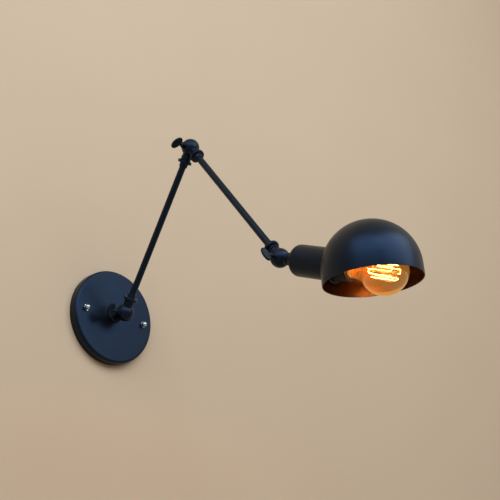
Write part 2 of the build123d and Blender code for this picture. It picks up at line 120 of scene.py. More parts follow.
plaster = add(tree, "ShaderNodeBsdfPrincipled", {
    "Base Color": tone, "Roughness": wall_roughness, "Specular IOR Level": wall_shine,
    "Normal": relief.outputs[0],
})
facing = add(tree, "ShaderNodeNewGeometry")
see_through = add(tree, "ShaderNodeBsdfTransparent")
two_sided = add(tree, "ShaderNodeMixShader", {
    0: facing.outputs["Backfacing"], 1: plaster.outputs[0], 2: see_through.outputs[0],
})
tree.links.new(two_sided.outputs[0], output.inputs[0])
wall_mesh.materials.append(wall_paint)

# Wall bracket: a strip of zinc-plated mild steel, punched with two slots and a wire hole.
# Two wall screws hold it, and the studs stand in its ends.
zinc_colour = (0.56, 0.57, 0.58, 1.0)
zinc_shade = (0.43, 0.45, 0.47, 1.0)
worn_edge_width = 0.0006
metal_edge_breaks = 900.0
metal_edge_gain = 1.25
metal_relief_depth = 0.0002
noise_low = 0.3
noise_high = 0.7


def math_of(tree, operation, *values, **settings):
    """Output of a math node on one to three values."""
    made = add(tree, "ShaderNodeMath", dict(enumerate(values)), operation=operation, **settings)
    return made.outputs[0]


def new_group(name, inputs, outputs):
    """Shader group with named inputs and outputs, and its two end nodes."""
    group = bpy.data.node_groups.new(name, "ShaderNodeTree")
    for socket, kind in inputs.items():
        group.interface.new_socket(name=socket, in_out="INPUT", socket_type=kind)
    for socket in outputs:
        group.interface.new_socket(name=socket, in_out="OUTPUT", socket_type="NodeSocketFloat")
    return group, add(group, "NodeGroupInput").outputs, add(group, "NodeGroupOutput").inputs


# Grain that every finish carries: fine specks for relief and slow clouds for gloss
surface_grain, grain_in, grain_out = new_group(
    "surface_grain",
    {"Place": "NodeSocketVector", "Fine": "NodeSocketFloat", "Broad": "NodeSocketFloat"},
    ("Specks", "Clouds"),
)
specks = add(surface_grain, "ShaderNodeTexNoise", {
    "Vector": grain_in["Place"], "Scale": grain_in["Fine"], "Detail": 3.0, "Roughness": 0.6,
})
clouds = add(surface_grain, "ShaderNodeTexNoise", {
    "Vector": grain_in["Place"], "Scale": grain_in["Broad"], "Detail": 4.0, "Roughness": 0.55,
})
surface_grain.links.new(specks.outputs[0], grain_out["Specks"])
surface_grain.links.new(clouds.outputs[0], grain_out["Clouds"])

# Edges rubbed by hands and packing: where the surface turns sharply, broken up by a noise
rubbed_edge, rub_in, rub_out = new_group(
    "rubbed_edge",
    {"Place": "NodeSocketVector", "Breaks": "NodeSocketFloat", "Amount": "NodeSocketFloat"},
    ("Mask",),
)
turned_edge = add(rubbed_edge, "ShaderNodeBevel", {"Radius": worn_edge_width}, samples=6)
true_face = add(rubbed_edge, "ShaderNodeNewGeometry")
along = add(rubbed_edge, "ShaderNodeVectorMath", {
    0: turned_edge.outputs[0], 1: true_face.outputs["Normal"],
}, operation="DOT_PRODUCT")
bend = math_of(rubbed_edge, "SUBTRACT", 1.0, along.outputs["Value"])
sharp = add(rubbed_edge, "ShaderNodeMapRange", {"Value": bend, "From Min": 0.03, "From Max": 0.22})
breaks = add(rubbed_edge, "ShaderNodeTexNoise", {
    "Vector": rub_in["Place"], "Scale": rub_in["Breaks"], "Detail": 4.0,
})
patchy = add(rubbed_edge, "ShaderNodeMapRange", {
    "Value": breaks.outputs[0], "From Min": 0.42, "From Max": 0.66,
})
rubbed = math_of(rubbed_edge, "MULTIPLY", sharp.outputs[0], patchy.outputs[0])
rubbed_edge.links.new(math_of(rubbed_edge, "MULTIPLY", rubbed, rub_in["Amount"]), rub_out["Mask"])


def grain_of(tree, place, fine, broad):
    """Specks and clouds of the shared grain at a material's own sizes."""
    made = add(tree, "ShaderNodeGroup", {
        "Place": place.outputs["Object"], "Fine": fine, "Broad": broad,
    }, node_tree=surface_grain)
    return made.outputs["Specks"], made.outputs["Clouds"]


def rub_of(tree, place, breaks, amount):
    """Mask of the rubbed edges at a material's own strength."""
    made = add(tree, "ShaderNodeGroup", {
        "Place": place.outputs["Object"], "Breaks": breaks, "Amount": amount,
    }, node_tree=rubbed_edge)
    return made.outputs["Mask"]


def between(tree, value, low, high):
    """Noise spread out to run from low to high."""
    spread = add(tree, "ShaderNodeMapRange", {
        "Value": value, "From Min": noise_low, "From Max": noise_high, "To Min": low, "To Max": high,
    })
    return spread.outputs[0]


def metal_finish(name, bright, dull, roughness, fine, broad, relief, rub):
    """Bare or plated metal: dull clouds on a bright ground, with fine relief and brighter edges."""
    finish, tree, output, place = new_finish(name)
    specks, clouds = grain_of(tree, place, fine, broad)
    ground = blend_of(tree, between(tree, clouds, 0.0, 1.0), bright, dull)
    polished = tuple(min(1.0, metal_edge_gain * part) for part in bright[:3]) + (1.0,)
    colour = blend_of(tree, rub_of(tree, place, metal_edge_breaks, rub), ground, polished)
    bump = add(tree, "ShaderNodeBump", {
        "Height": specks, "Strength": relief, "Distance": metal_relief_depth,
    })
    metal = add(tree, "ShaderNodeBsdfPrincipled", {
        "Base Color": colour, "Metallic": 1.0, "Normal": bump.outputs[0],
        "Roughness": between(tree, clouds, *roughness),
    })
    tree.links.new(metal.outputs[0], output.inputs[0])
    return finish


def dress(finish, *names):
    """Give CAD nodes that keep their shape a finish."""
    for name in names:
        slots = frame["nodes"][name].data.materials
        slots.clear()
        slots.append(finish)


zinc_plate = metal_finish(
    "zinc_plate", bright=zinc_colour, dull=zinc_shade, roughness=(0.30, 0.46),
    fine=1400.0, broad=90.0, relief=0.08, rub=0.5,
)
dress(zinc_plate, "wall_bracket")

# Canopy studs: two lengths of steel rod with a rolled thread, zinc plated.
# They screw into the ends of the bracket and carry the canopy.
mm = 0.001
stud_offset = 56.1 * mm
stud_length = 20.1 * mm
stud_thread = {
    "Crest radius": 2.0 * mm, "Root radius": 1.65 * mm, "Bore radius": 0.0,
    "Pitch": 0.7 * mm, "Roundness": 0.2, "Steps round": 25,
}
rows_per_turn = 8
bore_rows = 3
half_row = 0.5
seam_gap = 0.000002
weld_gap = 0.000001
outward = Vector((0, -1, 0))
rightward = Vector((1, 0, 0))


def new_rule(name, made, sizes, counts):
    """Geometry tree with named sizes, counts and a finish, and what comes in by those names."""
    rule = bpy.data.node_groups.new(name, "GeometryNodeTree")
    rule.interface.new_socket(name=made, in_out="OUTPUT", socket_type="NodeSocketGeometry")
    for size in sizes:
        rule.interface.new_socket(name=size, in_out="INPUT", socket_type="NodeSocketFloat")
    for count in counts:
        rule.interface.new_socket(name=count, in_out="INPUT", socket_type="NodeSocketInt")
    rule.interface.new_socket(name="Finish", in_out="INPUT", socket_type="NodeSocketMaterial")
    return rule, add(rule, "NodeGroupInput").outputs


def close_rule(rule, made, geometry, finish):
    """End a geometry tree in one real mesh that has its finish."""
    whole = add(rule, "GeometryNodeRealizeInstances", {"Geometry": geometry})
    coated = add(rule, "GeometryNodeSetMaterial", {"Geometry": whole.outputs[0], "Material": finish})
    add(rule, "NodeGroupOutput", {made: coated.outputs[0]})


# Thread tree: a sheet rolled round the axis whose radius follows a helix, closed through the bore.
# Its first row and its last two lie in the bore, and the last comes back to the first.
screw_thread, thread_in = new_rule(
    "screw_thread", "Piece",
    ("Crest radius", "Root radius", "Bore radius", "Pitch", "Length", "Roundness"),
    ("Steps round", "Rows"),
)


def step_of(operation, *values, **settings):
    """Output of a math node in the thread tree."""
    return math_of(screw_thread, operation, *values, **settings)


sheet = add(screw_thread, "GeometryNodeMeshGrid", {
    "Size X": 1.0, "Size Y": 1.0,
    "Vertices X": thread_in["Steps round"], "Vertices Y": thread_in["Rows"],
})
position = add(screw_thread, "GeometryNodeInputPosition").outputs[0]
spot = add(screw_thread, "ShaderNodeSeparateXYZ", {0: position})
share_round = step_of("ADD", spot.outputs[0], 0.5)
share_up = step_of("ADD", spot.outputs[1], 0.5)
last_row = step_of("SUBTRACT", thread_in["Rows"], 1.0)
row = step_of("MULTIPLY", share_up, last_row)
outside_rows = step_of("SUBTRACT", last_row, bore_rows)
share_along = step_of("DIVIDE", step_of("SUBTRACT", row, 1.0), outside_rows, use_clamp=True)
closing = step_of("GREATER_THAN", row, step_of("SUBTRACT", last_row, half_row))
open_height = step_of("MULTIPLY", share_along, thread_in["Length"])
height = step_of("MULTIPLY", open_height, step_of("SUBTRACT", 1.0, closing))
first_row = step_of("LESS_THAN", row, half_row)
last_two_rows = step_of("GREATER_THAN", row, step_of("SUBTRACT", last_row, 1.0 + half_row))
in_bore = step_of("MAXIMUM", first_row, last_two_rows)
turns_up = step_of("DIVIDE", height, thread_in["Pitch"])
helix = step_of("FRACT", step_of("SUBTRACT", turns_up, share_round))
ridge = step_of("ABSOLUTE", step_of("SUBTRACT", step_of("MULTIPLY", helix, 2.0), 1.0))
swell = step_of("COSINE", step_of("MULTIPLY", ridge, math.pi))
wave = step_of("SUBTRACT", 0.5, step_of("MULTIPLY", swell, 0.5))
crest = add(screw_thread, "ShaderNodeMix", {0: thread_in["Roundness"], 2: ridge, 3: wave}).outputs[0]
to_end = step_of("MINIMUM", height, step_of("SUBTRACT", thread_in["Length"], height))
run_out = step_of("DIVIDE", to_end, thread_in["Pitch"], use_clamp=True)
depth = step_of("SUBTRACT", thread_in["Crest radius"], thread_in["Root radius"])
rise = step_of("MULTIPLY", depth, step_of("MULTIPLY", crest, run_out))
flank = step_of("ADD", thread_in["Root radius"], rise)
radius = add(screw_thread, "ShaderNodeMix", {
    0: in_bore, 2: flank, 3: thread_in["Bore radius"],
}).outputs[0]
angle = step_of("MULTIPLY", share_round, 2 * math.pi)
rolled = add(screw_thread, "ShaderNodeCombineXYZ", {
    0: step_of("MULTIPLY", radius, step_of("COSINE", angle)),
    1: step_of("MULTIPLY", radius, step_of("SINE", angle)),
    2: height,
})
bent = add(screw_thread, "GeometryNodeSetPosition", {
    "Geometry": sheet.outputs[0], "Position": rolled.outputs[0],
})
closed = add(screw_thread, "GeometryNodeMergeByDistance", {
    "Geometry": bent.outputs[0], "Distance": seam_gap,
})
close_rule(screw_thread, "Piece", closed.outputs[0], thread_in["Finish"])


def standing(origin, direction, sideways):
    """Place with its z along a direction and its x sideways."""
    turned_place = Matrix((sideways, direction.cross(sideways), direction)).transposed().to_4x4()
    return Matrix.Translation(origin) @ turned_place


def cleaned(mesh, crease):
    """Merge doubles, drop loose edges, turn faces outwards and smooth up to a crease angle."""
    shape = bmesh.new()
    shape.from_mesh(mesh)
    bmesh.ops.remove_doubles(shape, verts=shape.verts, dist=weld_gap)
    bmesh.ops.delete(shape, geom=[edge for edge in shape.edges if not edge.link_faces], context="EDGES")
    bmesh.ops.delete(shape, geom=[spot for spot in shape.verts if not spot.link_faces], context="VERTS")
    bmesh.ops.recalc_face_normals(shape, faces=shape.faces)
    shape.to_mesh(mesh)
    shape.free()
    mesh.shade_smooth()
    mesh.set_sharp_from_angle(angle=math.radians(crease))


def baked(piece):
    """Plain mesh of an object with its modifiers worked in, and the object taken away."""
    mesh = bpy.data.meshes.new_from_object(piece.evaluated_get(bpy.context.evaluated_depsgraph_get()))
    piece.modifiers.clear()
    bpy.data.objects.remove(piece)
    return mesh


def grown(tree, place, sizes):
    """Plain mesh that a node tree gives for named sizes, set in its place."""
    seed = bpy.data.objects.new(tree.name, bpy.data.meshes.new(tree.name))
    bpy.context.scene.collection.objects.link(seed)
    rule = seed.modifiers.new("rule", "NODES")
    rule.node_group = tree
    for socket in tree.interface.items_tree:
        if socket.in_out == "INPUT":
            rule[socket.identifier] = sizes[socket.name]
    mesh = baked(seed)
    mesh.transform(place)
    cleaned(mesh, crease=50)
    return mesh


def threaded(place, thread, length, finish):
    """Mesh of a thread of a given form, from the place's origin along its z."""
    rows = round(length / thread["Pitch"]) * rows_per_turn + bore_rows + 1
    return grown(screw_thread, place, thread | {"Length": length, "Rows": rows, "Finish": finish})


def joined(name, meshes):
    """One piece from several meshes that share a body."""
    shape = bmesh.new()
    finishes = []
    for mesh in meshes:
        first = len(shape.faces)
        shape.from_mesh(mesh)
        shape.faces.ensure_lookup_table()
        finishes += [finish for finish in mesh.materials if finish not in finishes]
        for face in shape.faces[first:]:
            face.material_index = finishes.index(mesh.materials[face.material_index])
    whole = bpy.data.meshes.new(name)
    shape.to_mesh(whole)
    shape.free()
    for finish in finishes:
        whole.materials.append(finish)
    piece = bpy.data.objects.new(name, whole)
    bpy.context.scene.collection.objects.link(piece)
    return piece


def fit(piece, body, node):
    """Put a finished piece on its body, in place of its CAD node."""
    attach(piece, body)
    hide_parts(node)


stud_places = [standing(rightward * side * stud_offset, outward, rightward) for side in (-1, 1)]
studs = joined("threaded_studs", [
    threaded(place, stud_thread, stud_length, zinc_plate) for place in stud_places
])
fit(studs, "wall_plate", "canopy_studs")

# Canopy: a dish pressed from steel sheet and sprayed satin black, with a cool cast to the black.
# It hides the bracket, and the two cap nuts hold it.
paint_colour = (0.0022, 0.0018, 0.0015, 1.0)
paint_faded = (0.0034, 0.0028, 0.0024, 1.0)
paint_rubbed = (0.020, 0.020, 0.021, 1.0)
paint_sheen = (0.26, 0.51, 1.0, 1.0)
dust_colour = (0.16, 0.145, 0.125, 1.0)
plain_shine = 0.5
plain_sheen = (1.0, 1.0, 1.0, 1.0)
solid_edge_breaks = 450.0
solid_relief_depth = 0.00014

# Dust that settles on faces that look up, thin and uneven
settled_dust, dust_in, dust_out = new_group(
    "settled_dust",
    {"Place": "NodeSocketVector", "Facing": "NodeSocketVector", "Amount": "NodeSocketFloat"},
    ("Mask",),
)
upright = add(settled_dust, "ShaderNodeSeparateXYZ", {0: dust_in["Facing"]})
upper = add(settled_dust, "ShaderNodeMapRange", {
    "Value": upright.outputs[2], "From Min": 0.35, "From Max": 1.0,
})
drift = add(settled_dust, "ShaderNodeTexNoise", {
    "Vector": dust_in["Place"], "Scale": 160.0, "Detail": 6.0, "Roughness": 0.7,
})
uneven = add(settled_dust, "ShaderNodeMapRange", {
    "Value": drift.outputs[0], "From Min": 0.35, "From Max": 0.75,
})
lying = math_of(settled_dust, "MULTIPLY", upper.outputs[0], uneven.outputs[0])
settled_dust.links.new(math_of(settled_dust, "MULTIPLY", lying, dust_in["Amount"]), dust_out["Mask"])


def dust_of(tree, place, amount):
    """Mask of the dust on faces that look up at rest."""
    made = add(tree, "ShaderNodeGroup", {
        "Place": place.outputs["Object"], "Facing": place.outputs["Normal"], "Amount": amount,
    }, node_tree=settled_dust)
    return made.outputs["Mask"]


def solid_finish(
    name, colour, other, edge, roughness, fine, broad, relief, rub, dust,
    shine=plain_shine, sheen=plain_sheen,
):
    """Painted or moulded solid: two tones in clouds, fine relief, rubbed edges and a little dust."""
    finish, tree, output, place = new_finish(name)
    specks, clouds = grain_of(tree, place, fine, broad)
    ground = blend_of(tree, between(tree, clouds, 0.0, 1.0), colour, other)
    handled = blend_of(tree, rub_of(tree, place, solid_edge_breaks, rub), ground, edge)
    dusty = blend_of(tree, dust_of(tree, place, dust), handled, dust_colour)
    bump = add(tree, "ShaderNodeBump", {
        "Height": specks, "Strength": relief, "Distance": solid_relief_depth,
    })
    solid = add(tree, "ShaderNodeBsdfPrincipled", {
        "Base Color": dusty, "Roughness": between(tree, clouds, *roughness), "Normal": bump.outputs[0],
        "Specular IOR Level": shine, "Specular Tint": sheen,
    })
    tree.links.new(solid.outputs[0], output.inputs[0])
    return finish


black_paint = solid_finish(
    "black_paint", colour=paint_colour, other=paint_faded, edge=paint_rubbed, roughness=(0.33, 0.40),
    fine=850.0, broad=28.0, relief=0.12, rub=0.25, dust=0.015, shine=0.34, sheen=paint_sheen,
)
dress(black_paint, "canopy")

# Cap nuts: small turned brass balls, polished and chrome plated, screwed on the studs.
# Each has a short collar that bears on the face of the canopy.
chrome_colour = (0.44, 0.45, 0.47, 1.0)
chrome_shade = (0.32, 0.33, 0.35, 1.0)
bright_chrome = metal_finish(
    "bright_chrome", bright=chrome_colour, dull=chrome_shade, roughness=(0.07, 0.16),
    fine=700.0, broad=220.0, relief=0.03, rub=0.3,
)
dress(bright_chrome, "cap_nuts")

# Nipples: lengths of steel tube threaded outside, zinc plated, with a hexagon nut on each.
# One hangs the base knuckle on the canopy, and the other ties the cup to the head knuckle.
nipple_thread = {
    "Crest radius": 5.0 * mm, "Root radius": 4.48 * mm, "Bore radius": 3.75 * mm,
    "Pitch": 1.0 * mm, "Roundness": 0.2, "Steps round": 41,
}
base_nipple_start = 4.4 * mm
base_nipple_length = 22.05 * mm
cup_nipple_start = 14.55 * mm
cup_nipple_length = 49.9 * mm
lamp_drop = math.radians(21.6)
joints = {joint["name"]: joint for joint in frame["joints"]}
base_pivot, elbow_pivot, head_pivot = (
    Vector(joints[name]["pos_m"]) for name in ("base_tilt", "elbow_fold", "head_tilt")
)
hinge = -Vector(joints["elbow_fold"]["axis"]).normalized()
arm_upward = outward.cross(hinge)


def slanted(angle):
    """Direction in the plane of the arms, at an angle above the way out of the wall."""
    return outward * math.cos(angle) + arm_upward * math.sin(angle)


lamp_direction = slanted(-lamp_drop)
wall_place = standing(Vector(), outward, rightward)
lamp_place = standing(head_pivot, lamp_direction, hinge)
base_nipple = joined("threaded_base_nipple", [threaded(
    wall_place @ Matrix.Translation((0, 0, base_nipple_start)),
    nipple_thread, base_nipple_length, zinc_plate,
)])
fit(base_nipple, "wall_plate", "base_nipple")
cup_nipple = joined("threaded_cup_nipple", [threaded(
    lamp_place @ Matrix.Translation((0, 0, cup_nipple_start)),
    nipple_thread, cup_nipple_length, zinc_plate,
)])
fit(cup_nipple, "lamp_head", "cup_nipple")
dress(zinc_plate, "base_lock_washer", "base_lock_nut", "cup_lock_nut")

# Seat rings: turned from steel bar and sprayed, each with a flange that beds on sheet metal.
# One stands between the canopy and the base knuckle, the other behind the cup.
neck_length = 19.8 * mm
seat_gap = 0.05 * mm
nipple_bore = 5.05 * mm
ring_foot_radius = 8.6 * mm
ring_foot_height = 1.6 * mm
ring_flange_radius = 10.75 * mm
ring_flange_height = 1.8 * mm
base_ring_length = 5.7 * mm
cup_ring_length = 11.0 * mm
tool_radius = 0.35 * mm
widest_corner = 0.45


def softened(outline, steps=4):
    """Closed outline of (radius, height, corner) points with each corner drawn round."""
    spots = [Vector(point[:2]) for point in outline]
    rounded = []
    neighbours = zip(spots[-1:] + spots[:-1], spots, spots[1:] + spots[:1])
    for (before, spot, after), point in zip(neighbours, outline):
        room = widest_corner * min((before - spot).length, (after - spot).length)
        corner = min(point[2], room)
        start = spot + (before - spot).normalized() * corner
        end = spot + (after - spot).normalized() * corner
        shares = [step / steps for step in range(steps + 1)] if corner else [0.0]
        rounded += [start * (1 - t) ** 2 + spot * (2 * t * (1 - t)) + end * t ** 2 for t in shares]
    return rounded


def turned(outline, place, finish, steps=72, crease=40):
    """Mesh turned about the z of a place from a closed outline of (radius, height) points."""
    shape = bmesh.new()
    rings = []
    for step in range(steps):
        turn = 2 * math.pi * step / steps
        across, up = math.cos(turn), math.sin(turn)
        rings.append([shape.verts.new((reach * across, reach * up, height)) for reach, height in outline])
    for ring, after in zip(rings, rings[1:] + rings[:1]):
        for spot in range(len(outline)):
            shape.faces.new((ring[spot - 1], ring[spot], after[spot], after[spot - 1]))
    mesh = bpy.data.meshes.new("turned")
    shape.to_mesh(mesh)
    shape.free()
    mesh.transform(place)
    mesh.materials.append(finish)
    cleaned(mesh, crease)
    return mesh


def seat_ring(place, length):
    """Ring from the end of a neck to the sheet metal that it is clamped on."""
    back = neck_length + seat_gap
    front = neck_length + length - seat_gap
    return turned(softened([
        (nipple_bore, back, tool_radius),
        (ring_foot_radius, back, tool_radius),
        (ring_foot_radius, back + ring_foot_height, tool_radius),
        (ring_flange_radius, front - ring_flange_height, tool_radius),
        (ring_flange_radius, front, tool_radius),
        (nipple_bore, front, tool_radius),
    ]), place, black_paint)


base_ring = joined("turned_base_seat_ring", [
    seat_ring(standing(base_pivot, -outward, hinge), base_ring_length)
])
fit(base_ring, "swivel", "base_seat_ring")
cup_ring = joined("turned_cup_seat_ring", [seat_ring(lamp_place, cup_ring_length)])
fit(cup_ring, "lamp_head", "cup_seat_ring")

# Ball knuckles: two hollow half balls with necks, cast in zinc and sprayed with the arms.
# A red fibre washer between their bosses sets the friction.
fibre_colour = (0.26, 0.060, 0.036, 1.0)
fibre_dark = (0.13, 0.030, 0.022, 1.0)
fibre_edge = (0.32, 0.11, 0.08, 1.0)
dress(
    black_paint,
    "base_knuckle_rear", "base_knuckle_front", "elbow_knuckle_lower", "elbow_knuckle_upper",
    "head_knuckle_arm", "head_knuckle_lamp",
)
fibre = solid_finish(
    "fibre", colour=fibre_colour, other=fibre_dark, edge=fibre_edge, roughness=(0.62, 0.80),
    fine=1800.0, broad=500.0, relief=0.3, rub=0.3, dust=0.05,
)
dress(fibre, "base_friction_washer", "elbow_friction_washer", "head_friction_washer")

# Thumb screws: cast zinc with a flat oval paddle, a waist and a collar, and a rolled thread.
# Each goes through one half ball and screws into the boss of the other.
shank_thread = {
    "Crest radius": 2.5 * mm, "Root radius": 2.1 * mm, "Bore radius": 0.0,
    "Pitch": 0.8 * mm, "Roundness": 0.2, "Steps round": 25,
}
screw_tip = -9.0 * mm
collar_start = 15.55 * mm
collar_end = 17.15 * mm
collar_radius = 4.3 * mm
waist_end = 20.75 * mm
waist_radius = 3.0 * mm
waist_corner = 1.0 * mm
root_end = 25.75 * mm
paddle_half_width = 11.1 * mm
paddle_half_height = 6.8 * mm
paddle_rim = 1.6 * mm
paddle_dish = 1.05 * mm
paddle_turns = {"base": 65.0, "elbow": 20.0, "head": -64.0}

# Half thickness of a paddle at shares of its reach: the dished middle, the raised rim, the round edge
paddle_side = [
    (0.0, paddle_dish), (0.45, paddle_dish), (0.62, 1.15 * mm), (0.78, 1.5 * mm),
    (0.86, paddle_rim), (0.93, paddle_rim), (0.975, 1.3 * mm), (1.0, 0.6 * mm),
]


def thumb_screw(pivot, turn):
    """Meshes of a thumb screw along the hinge line whose paddle spreads at a turn."""
    place = standing(pivot, -hinge, slanted(math.radians(turn)))
    shank = threaded(
        place @ Matrix.Translation((0, 0, screw_tip)),
        shank_thread, collar_start - screw_tip, black_paint,
    )
    stalk = turned(softened([
        (0.0, collar_start, 0.0),
        (collar_radius, collar_start, tool_radius),
        (collar_radius, collar_end, tool_radius),
        (waist_radius, collar_end, tool_radius),
        (waist_radius, waist_end, waist_corner),
        (paddle_dish, root_end, 0.0),
        (0.0, root_end, 0.0),
    ]), place, black_paint, steps=48)
    middle = place @ Matrix.Translation((0, 0, waist_end + paddle_half_height))
    oval = middle @ Matrix.Rotation(math.radians(90), 4, "X")
    stretch = Matrix.Diagonal((paddle_half_width, paddle_half_height, 1.0, 1.0))
    outline = paddle_side + [(reach, -thick) for reach, thick in reversed(paddle_side)]
    paddle = turned(outline, oval @ stretch, black_paint, steps=56, crease=60)
    return [shank, stalk, paddle]


for name, pivot in (("base", base_pivot), ("elbow", elbow_pivot), ("head", head_pivot)):
    screw = joined(f"{name}_dished_thumb_screw", thumb_screw(pivot, paddle_turns[name]))
    fit(screw, f"{name}_screw", f"{name}_thumb_screw")

# Arms: plain steel tube sprayed satin black, with the supply flex in its black jacket inside.
# A turned jam collar at each end locks the tube into the neck of a knuckle.
collar_foot_radius = 8.6 * mm
collar_foot_end = 20.75 * mm
collar_groove_radius = 7.7 * mm
collar_groove_end = 21.15 * mm
collar_flange_radius = 10.75 * mm
collar_flange_end = 25.4 * mm
collar_flange_corner = 0.8 * mm
collar_cone_radius = 6.8 * mm
collar_tip_radius = 5.95 * mm
collar_tip = 31.95 * mm
flex_colour = (0.020, 0.020, 0.021, 1.0)
flex_faded = (0.030, 0.029, 0.029, 1.0)
flex_edge = (0.05, 0.05, 0.05, 1.0)
dress(black_paint, "lower_arm_tube", "upper_arm_tube")
flex_jacket = solid_finish(
    "flex_jacket", colour=flex_colour, other=flex_faded, edge=flex_edge, roughness=(0.48, 0.62),
    fine=1500.0, broad=120.0, relief=0.1, rub=0.2, dust=0.02,
)
dress(flex_jacket, "lower_arm_flex", "upper_arm_flex")
lower_direction = (elbow_pivot - base_pivot).normalized()
upper_direction = (head_pivot - elbow_pivot).normalized()
for arm, end, pivot, direction in (
    ("lower_arm", "base", base_pivot, lower_direction),
    ("lower_arm", "elbow", elbow_pivot, -lower_direction),
    ("upper_arm", "elbow", elbow_pivot, upper_direction),
    ("upper_arm", "head", head_pivot, -upper_direction),
):
    collar = joined(f"{arm}_{end}_turned_collar", [turned(softened([
        (nipple_bore, neck_length + seat_gap, 0.0),
        (collar_foot_radius, neck_length + seat_gap, tool_radius),
        (collar_foot_radius, collar_foot_end, tool_radius),
        (collar_groove_radius, collar_foot_end, 0.0),
        (collar_groove_radius, collar_groove_end, 0.0),
        (collar_flange_radius, collar_groove_end, collar_flange_corner),
        (collar_flange_radius, collar_flange_end, collar_flange_corner),
        (collar_cone_radius, collar_flange_end, tool_radius),
        (collar_tip_radius, collar_tip, tool_radius),
        (nipple_bore, collar_tip, 0.0),
    ]), standing(pivot, direction, hinge), black_paint)])
    fit(collar, arm, f"{arm}_{end}_collar")

# Socket cup: drawn from steel sheet with a round shoulder and sprayed with the shade.
# The nipple and its nut clamp it to the head knuckle, and its rim beds on the dome.
dress(black_paint, "socket_cup")

# Lampholder: a black phenolic moulding in three pieces, with a brass screw shell and contact.
# The body's coarse outer thread carries a ribbed ring that clamps the shade.
holder_back = 70.5 * mm
holder_floor_back = 92.2 * mm
holder_floor_front = 98.2 * mm
holder_front = 126.5 * mm
holder_radius = 18.5 * mm
holder_recess_radius = 15.0 * mm
holder_thread = {
    "Crest radius": holder_radius, "Root radius": 17.5 * mm, "Bore radius": 14.05 * mm,
    "Pitch": 3.2 * mm, "Roundness": 0.8, "Steps round": 97,
}
clamp_back = 99.1 * mm
clamp_flange_end = 101.5 * mm
clamp_front = 106.1 * mm
clamp_bore = 18.55 * mm
clamp_flange_radius = 23.5 * mm
clamp_waist_radius = 20.7 * mm
clamp_rib_radius = 0.6 * mm
clamp_rib_count = 40
clamp_rib_sides = 10
phenolic_colour = (0.0060, 0.0054, 0.0052, 1.0)
phenolic_brown = (0.0100, 0.0072, 0.0058, 1.0)
phenolic_edge = (0.030, 0.026, 0.023, 1.0)
brass_colour = (0.80, 0.50, 0.18, 1.0)
brass_tarnish = (0.58, 0.34, 0.12, 1.0)
phenolic = solid_finish(
    "phenolic", colour=phenolic_colour, other=phenolic_brown, edge=phenolic_edge, roughness=(0.24, 0.36),
    fine=600.0, broad=60.0, relief=0.05, rub=0.4, dust=0.02, shine=0.30,
)
brass = metal_finish(
    "brass", bright=brass_colour, dull=brass_tarnish, roughness=(0.24, 0.42),
    fine=1200.0, broad=140.0, relief=0.06, rub=0.4,
)
dress(phenolic, "lampholder_cap")
dress(brass, "screw_shell", "centre_contact")
holder_base = turned(softened([
    (0.0, holder_floor_back, 0.0),
    (0.0, holder_floor_front, 0.0),
    (holder_radius, holder_floor_front, tool_radius),
    (holder_radius, holder_back, tool_radius),
    (holder_recess_radius, holder_back, tool_radius),
    (holder_recess_radius, holder_floor_back, 0.0),
]), lamp_place, phenolic)
sleeve_start = holder_floor_front + seat_gap
holder_sleeve = threaded(
    lamp_place @ Matrix.Translation((0, 0, sleeve_start)),
    holder_thread, holder_front - sleeve_start, phenolic,
)
holder_body = joined("threaded_lampholder_body", [holder_base, holder_sleeve])
fit(holder_body, "lamp_head", "lampholder_body")

# Rib tree: round ribs stood in a ring, for fingers to turn the clamp ring by
grip_ribs, rib_in = new_rule(
    "grip_ribs", "Ribs", ("Ring radius", "Rib radius", "Rib length"), ("Rib count",)
)
ring = add(grip_ribs, "GeometryNodeMeshCircle", {
    "Vertices": rib_in["Rib count"], "Radius": rib_in["Ring radius"],
})
rib = add(grip_ribs, "GeometryNodeMeshCylinder", {
    "Vertices": clamp_rib_sides, "Radius": rib_in["Rib radius"], "Depth": rib_in["Rib length"],
})
set_round = add(grip_ribs, "GeometryNodeInstanceOnPoints", {
    "Points": ring.outputs[0], "Instance": rib.outputs[0],
})
close_rule(grip_ribs, "Ribs", set_round.outputs[0], rib_in["Finish"])
rib_length = clamp_front - clamp_flange_end - tool_radius
rib_place = lamp_place @ Matrix.Translation((0, 0, clamp_flange_end + rib_length / 2))
clamp_ribs = grown(grip_ribs, rib_place, {
    "Ring radius": clamp_waist_radius, "Rib radius": clamp_rib_radius, "Rib length": rib_length,
    "Rib count": clamp_rib_count, "Finish": phenolic,
})
clamp_body = turned(softened([
    (clamp_bore, clamp_back, 0.0),
    (clamp_flange_radius, clamp_back, tool_radius),
    (clamp_flange_radius, clamp_flange_end, tool_radius),
    (clamp_waist_radius, clamp_flange_end, tool_radius),
    (clamp_waist_radius, clamp_front, tool_radius),
    (clamp_bore, clamp_front, 0.0),
]), lamp_place, phenolic)
clamp_ring = joined("ribbed_clamp_ring", [clamp_body, clamp_ribs])
fit(clamp_ring, "lamp_head", "lampholder_ring")

# Shade: a dome spun from steel sheet, with a straight skirt, a soft rim and a hole in its side.
# It is sprayed inside and out, and the heat of the bulb has browned the paint inside.
shade_radius = 62.48 * mm
shade_wall = 1.0 * mm
shade_skirt = 15.5 * mm
shade_rim_corner = 0.42 * mm
shade_hole_radius = 18.8 * mm
shade_reach = 155.857 * mm
drill_start = 1.2
drill_end = 0.5
socket_latitude = math.radians(22.5)
dome_steps = 30
lining_colour = (0.0016, 0.0011, 0.0009, 1.0)
lining_browned = (0.0024, 0.0015, 0.0011, 1.0)
lining_edge = (0.022, 0.018, 0.016, 1.0)
lining_sheen = (1.0, 0.62, 0.38, 1.0)
shade_lining = solid_finish(
    "shade_lining", colour=lining_colour, other=lining_browned, edge=lining_edge, roughness=(0.22, 0.28),
    fine=850.0, broad=40.0, relief=0.10, rub=0.3, dust=0.0, shine=0.55, sheen=lining_sheen,
)
